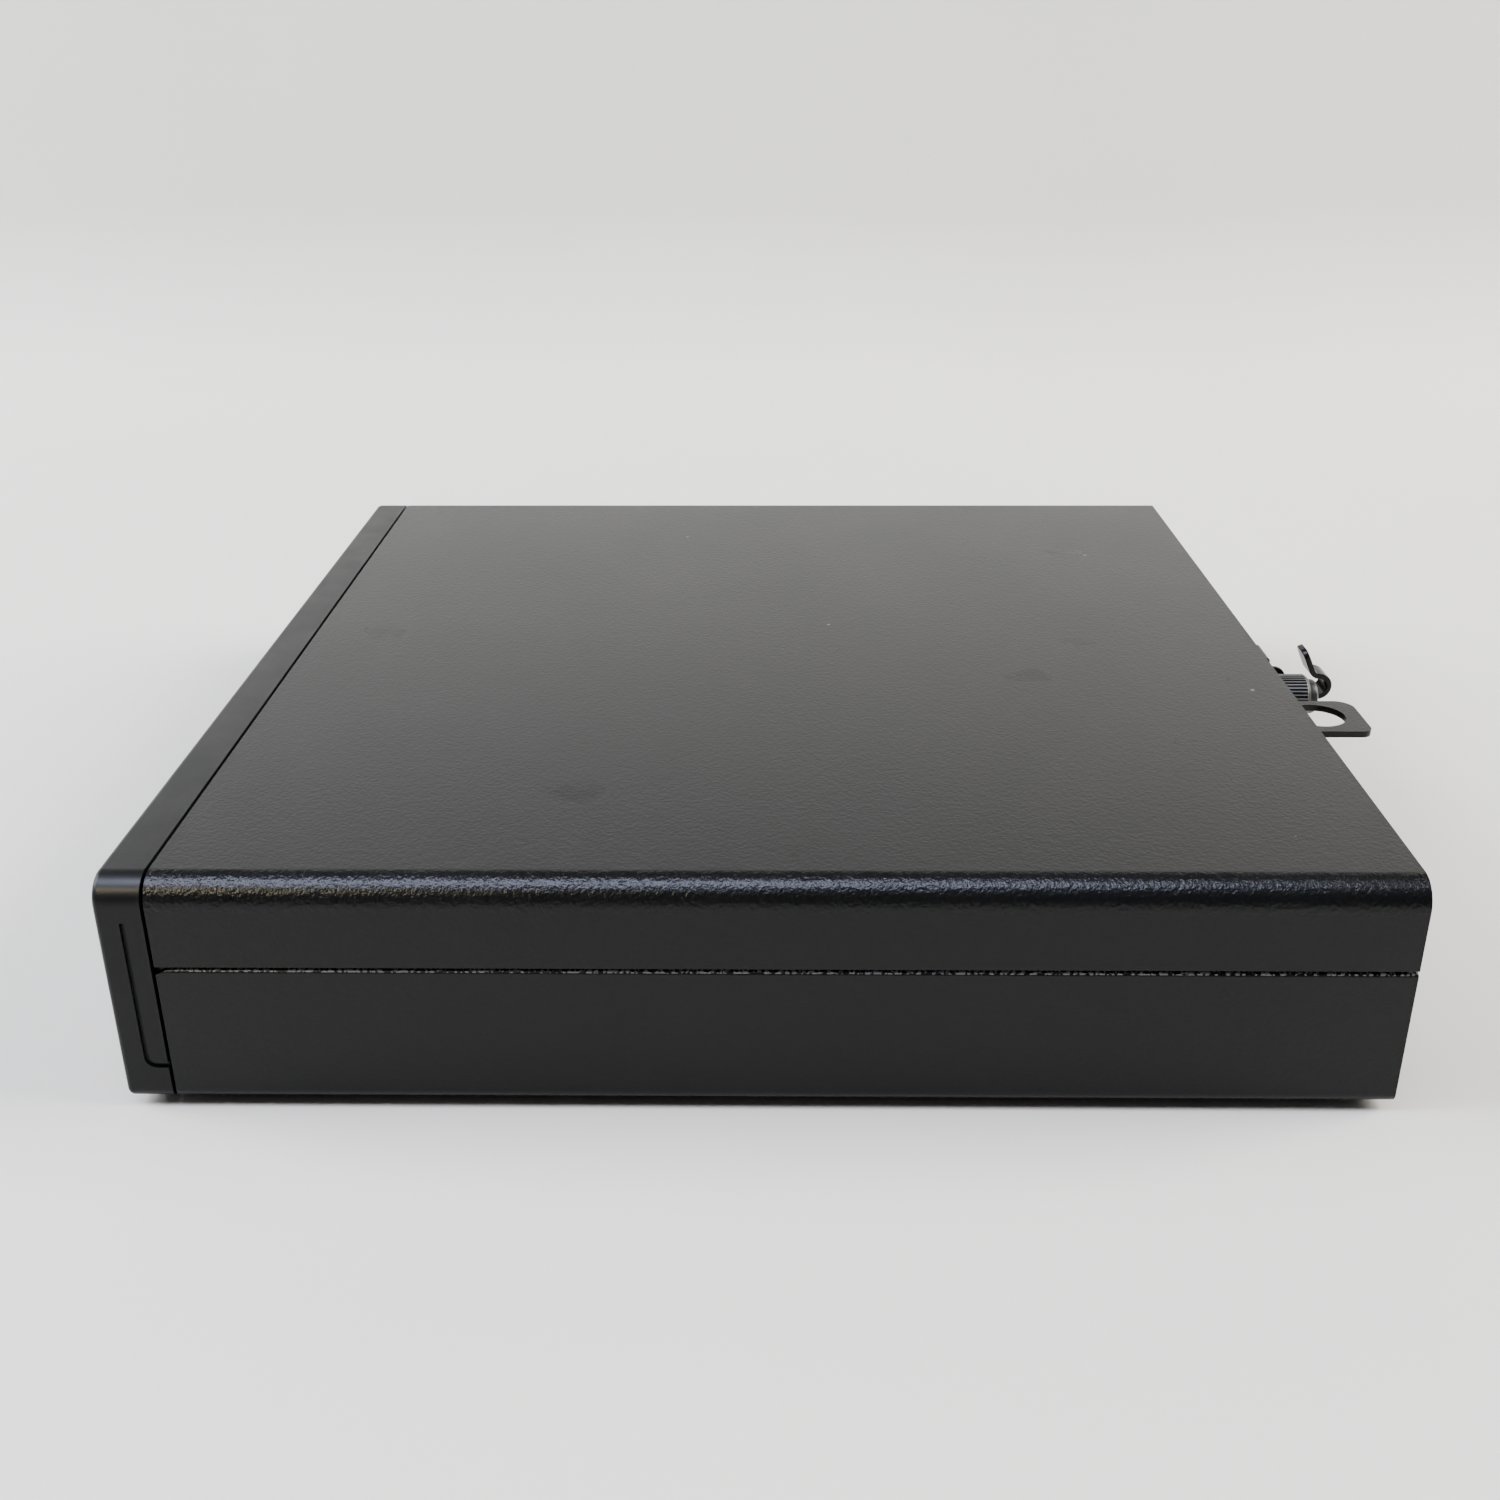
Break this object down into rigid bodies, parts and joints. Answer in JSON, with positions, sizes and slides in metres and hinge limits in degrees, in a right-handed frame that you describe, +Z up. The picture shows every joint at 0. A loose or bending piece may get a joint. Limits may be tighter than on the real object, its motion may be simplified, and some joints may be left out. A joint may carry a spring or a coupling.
{
  "type": "compact desktop computer",
  "caption": "Flat black steel desktop computer with a plastic front bezel, a slide-off cover, rear thumbscrew, padlock loop and cord hook.",
  "frame": {"origin": "on the table under the middle of the whole object's box, rear hardware included", "axes": "+Z up, -Y towards the bezel, +X the computer's right side seen from the front"},
  "size_m": [0.177, 0.1918, 0.0357],
  "materials": {
    "powder_coated_steel": "fine-textured black powder coat on sheet steel",
    "bare_steel": "zinc-plated sheet steel",
    "moulded_black": "fine satin mould texture",
    "black_oxide_screw": "black oxide",
    "spring_steel": "glossy black coating on spring steel",
    "rubber": "matte",
    "circuit_board": "solder mask over glass epoxy",
    "plated_screw": "nickel-plated",
    "connector_plastic": "moulded, matte",
    "latch_metal": "stamped",
    "processor_lid": "nickel-plated",
    "extruded_aluminium": "extruded",
    "fan_plastic": "moulded, satin",
    "drive_case": "die-cast and stamped",
    "ribbon_film": "polyimide film",
    "connector_shell": "tin-plated, stamped",
    "chip_plastic": "moulded epoxy",
    "clear_plastic": "clear, moulded",
    "lead_jacket": "extruded jacket"
  },
  "bodies": {
    "chassis": {"chassis_pan": "powder_coated_steel", "rear_panel": "powder_coated_steel", "padlock_loop": "powder_coated_steel", "front_plate": "bare_steel", "drive_cage": "bare_steel", "screw_insert": "bare_steel", "board_standoffs": "bare_steel", "port_blank": "bare_steel", "front_bezel": "moulded_black", "antenna_plug": "moulded_black", "cord_hook": "spring_steel", "rubber_feet": "rubber", "motherboard": "circuit_board", "memory_module_a": "circuit_board", "memory_module_b": "circuit_board", "storage_card": "circuit_board", "radio_card": "circuit_board", "antennas": "circuit_board", "board_screws": "plated_screw", "heat_sink_screws": "plated_screw", "fan_screws": "plated_screw", "card_posts": "plated_screw", "card_screws": "plated_screw", "processor_socket": "connector_plastic", "memory_socket_a": "connector_plastic", "memory_socket_b": "connector_plastic", "card_sockets": "connector_plastic", "ribbon_header": "connector_plastic", "cell_holder": "connector_plastic", "power_inlet": "connector_plastic", "power_switch": "connector_plastic", "audio_jacks": "connector_plastic", "processor": "processor_lid", "coin_cell": "processor_lid", "heat_sink": "extruded_aluminium", "controller_heat_sink": "extruded_aluminium", "fan_housing": "fan_plastic", "loudspeaker": "fan_plastic", "disk_drive": "drive_case", "drive_ribbon": "ribbon_film", "usb_sockets_near": "connector_shell", "usb_sockets_far": "connector_shell", "network_socket": "connector_shell", "display_sockets": "connector_shell", "front_usb_sockets": "connector_shell", "small_usb_socket": "connector_shell", "capacitors": "connector_shell", "controller_chip": "chip_plastic", "choke_coils": "chip_plastic", "light_guide": "clear_plastic", "antenna_leads": "lead_jacket"},
    "cover": {"top_cover": "powder_coated_steel"},
    "screw_washer": {"screw_washer": "black_oxide_screw"},
    "thumbscrew": {"thumbscrew": "black_oxide_screw"},
    "power_button": {"power_button": "moulded_black"},
    "fan_rotor": {"fan_rotor": "fan_plastic"},
    "latch_left_a": {"memory_latch_left_a": "latch_metal"},
    "latch_right_a": {"memory_latch_right_a": "latch_metal"},
    "latch_left_b": {"memory_latch_left_b": "latch_metal"},
    "latch_right_b": {"memory_latch_right_b": "latch_metal"}
  },
  "joints": [
    {"name": "cover_slide", "type": "slide", "parent": "chassis", "child": "cover", "axis": [0, 1, 0], "range_m": [0, 0.18]},
    {"name": "thumbscrew_travel", "type": "slide", "parent": "cover", "child": "screw_washer", "axis": [0, 1, 0], "range_m": [0, 0.00397]},
    {"name": "thumbscrew_turn", "type": "hinge", "parent": "screw_washer", "child": "thumbscrew", "pos_m": [0, 0.08505, 0.025], "axis": [0, 1, 0], "range_deg": [0, 1800]},
    {"name": "power_button_press", "type": "slide", "parent": "chassis", "child": "power_button", "axis": [0, 1, 0], "range_m": [0, 0.001], "stiffness_N_per_m": 1500},
    {"name": "fan_spin", "type": "hinge", "parent": "chassis", "child": "fan_rotor", "pos_m": [0.044, 0.02605, 0.0276], "axis": [0, 0, 1], "continuous": true},
    {"name": "latch_left_a_open", "type": "hinge", "parent": "chassis", "child": "latch_left_a", "pos_m": [0.00935, -0.06605, 0.0109], "axis": [0, 0, 1], "range_deg": [0, 8], "stiffness_Nm_per_rad": 0.05},
    {"name": "latch_right_a_open", "type": "hinge", "parent": "chassis", "child": "latch_right_a", "pos_m": [0.07865, -0.06605, 0.0109], "axis": [0, 0, -1], "range_deg": [0, 8], "stiffness_Nm_per_rad": 0.05},
    {"name": "latch_left_b_open", "type": "hinge", "parent": "chassis", "child": "latch_left_b", "pos_m": [0.00935, -0.03045, 0.0109], "axis": [0, 0, 1], "range_deg": [0, 8], "stiffness_Nm_per_rad": 0.05},
    {"name": "latch_right_b_open", "type": "hinge", "parent": "chassis", "child": "latch_right_b", "pos_m": [0.07865, -0.03045, 0.0109], "axis": [0, 0, -1], "range_deg": [0, 8], "stiffness_Nm_per_rad": 0.05}
  ],
  "couplings": [
    {"joint": "thumbscrew_turn", "follows": "thumbscrew_travel", "rad_per_m": 7915.3}
  ]
}
